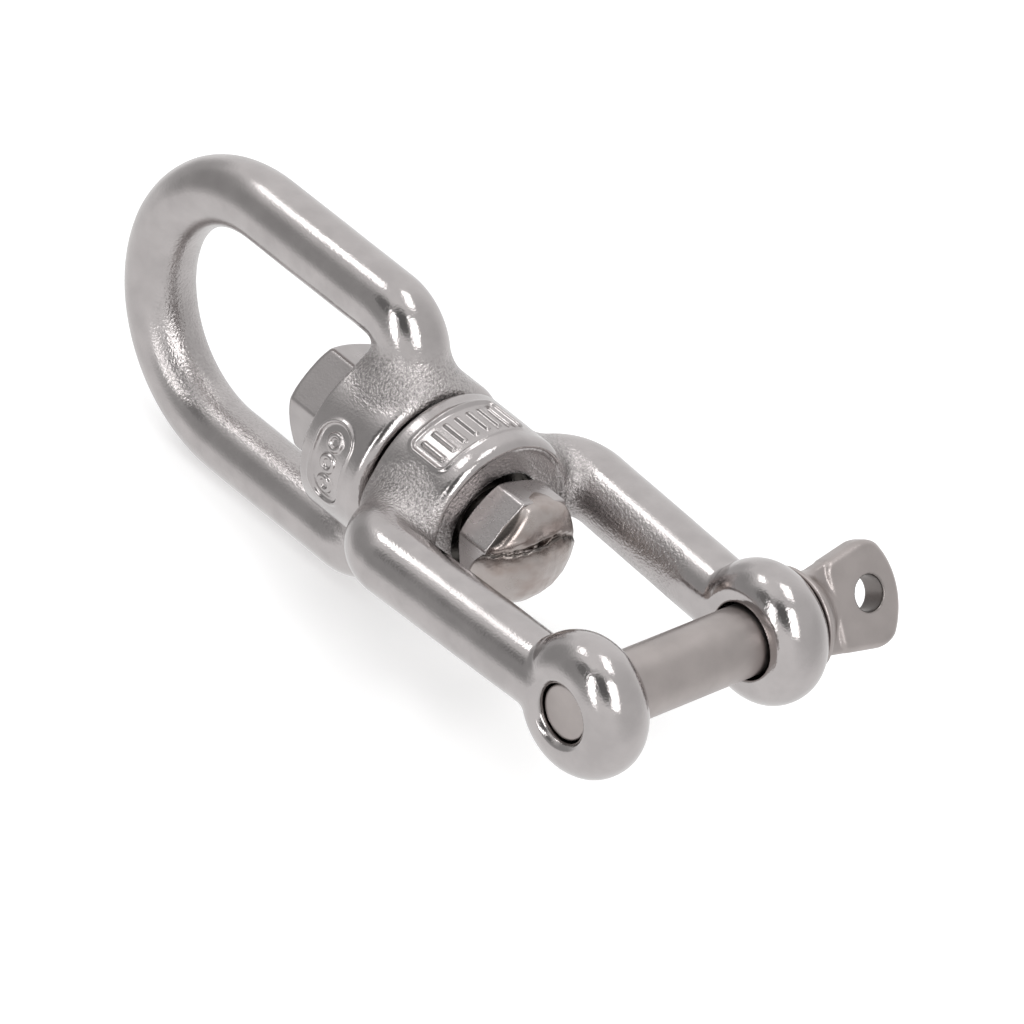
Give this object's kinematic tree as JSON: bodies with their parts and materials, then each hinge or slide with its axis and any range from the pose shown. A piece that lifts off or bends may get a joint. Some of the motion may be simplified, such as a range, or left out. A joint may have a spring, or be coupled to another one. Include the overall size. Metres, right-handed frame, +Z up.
{
  "type": "anchor swivel",
  "caption": "Eye-and-jaw anchor chain swivel: a round-bar eye and a clevis jaw turn on one bolt, closed by a winged screw pin.",
  "frame": {"origin": "centre of the clevis pin, midway between the jaw's ears", "axes": "+X along the swivel axis from the eye to the jaw's mouth, +Y along the clevis pin from its tip to its wing, +Z up: the jaw lies flat in XY and the eye stands in XZ"},
  "size_m": [0.0992, 0.0508, 0.0392],
  "materials": {
    "cast_eye": "satin polished casting",
    "cast_jaw": "satin polished casting",
    "bolt_steel": "satin",
    "weld_metal": "ground weld with heat tint",
    "pin_steel": "matt satin"
  },
  "bodies": {
    "eye": {"eye": "cast_eye"},
    "jaw": {"jaw": "cast_jaw"},
    "swivel_bolt": {"swivel_bolt": "bolt_steel", "lock_nut": "bolt_steel", "weld_cap": "weld_metal"},
    "clevis_pin": {"clevis_pin": "pin_steel"}
  },
  "joints": [
    {"name": "jaw_swivel", "type": "hinge", "parent": "eye", "child": "jaw", "pos_m": [-0.03475, 0, 0], "axis": [1, 0, 0], "continuous": true},
    {"name": "bolt_spin", "type": "hinge", "parent": "eye", "child": "swivel_bolt", "pos_m": [-0.04515, 0, 0], "axis": [1, 0, 0], "continuous": true},
    {"name": "pin_slide", "type": "slide", "parent": "jaw", "child": "clevis_pin", "axis": [0, 1, 0], "range_m": [0, 0.05]}
  ]
}
